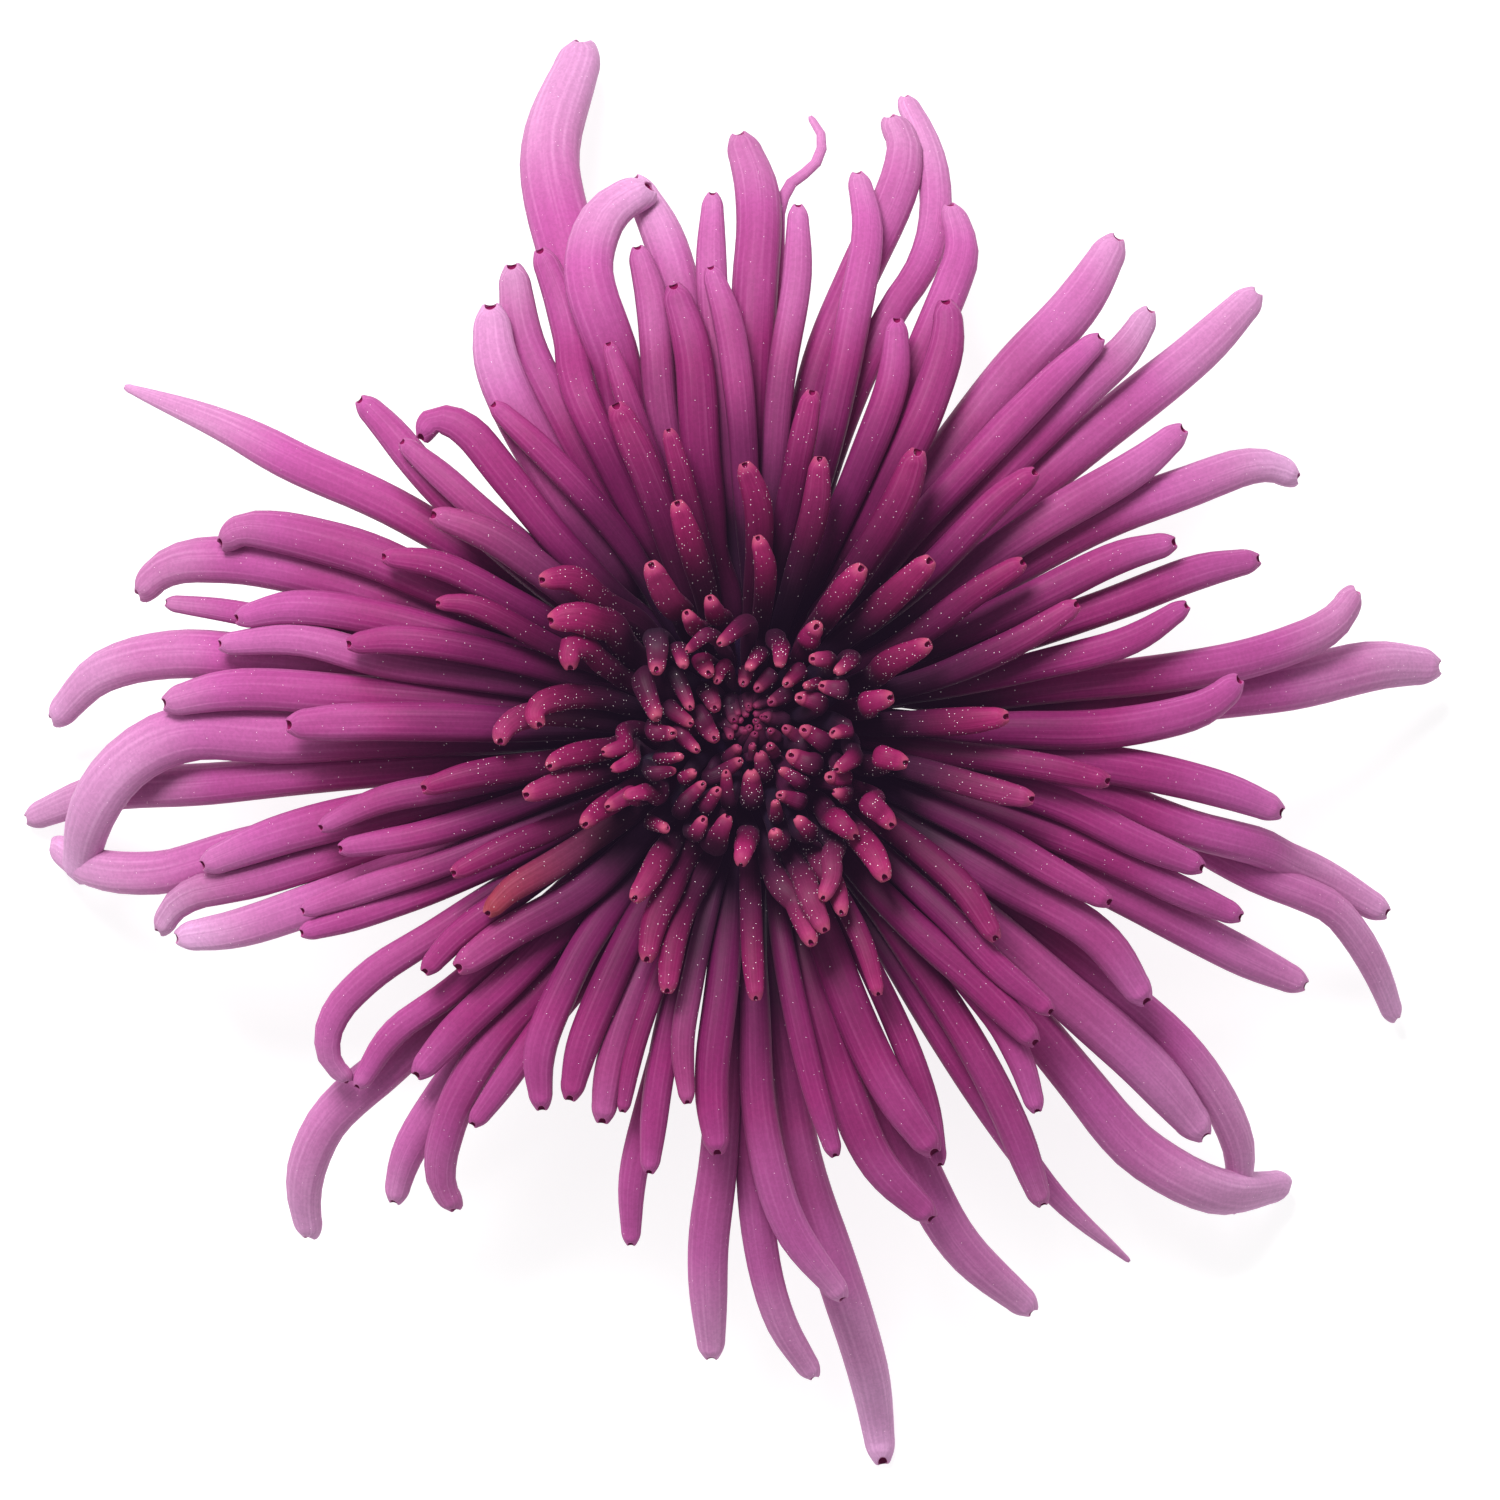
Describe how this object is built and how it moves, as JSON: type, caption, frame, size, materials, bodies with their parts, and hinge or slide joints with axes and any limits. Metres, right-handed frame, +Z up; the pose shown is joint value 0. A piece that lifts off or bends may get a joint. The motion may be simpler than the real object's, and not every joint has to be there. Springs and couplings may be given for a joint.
{
  "type": "spider chrysanthemum",
  "caption": "Cut spider chrysanthemum bloom with long curling mauve quills round a crimson heart, a green bract cup and a short cut stem, lying face up.",
  "frame": {"origin": "On the surface that the bloom lies on, under the middle of its outline.", "axes": "+Z is up, out of the face of the bloom; +Y is towards the top of the bloom as it is usually pictured."},
  "size_m": [0.1187, 0.1195, 0.0353],
  "materials": {
    "ray_petal": "mauve petal skin, satin, paler at the outer ends and dark plum at the base",
    "young_petal": "crimson petal skin with peach tips, satin",
    "bract_green": "green bracts with pale papery edges, matt",
    "stem_green": "ribbed green stalk with a pale moist cut end"
  },
  "bodies": {
    "root": {"ray_florets": "ray_petal", "centre_florets": "young_petal", "involucre": "bract_green", "stem": "stem_green"}
  },
  "joints": []
}
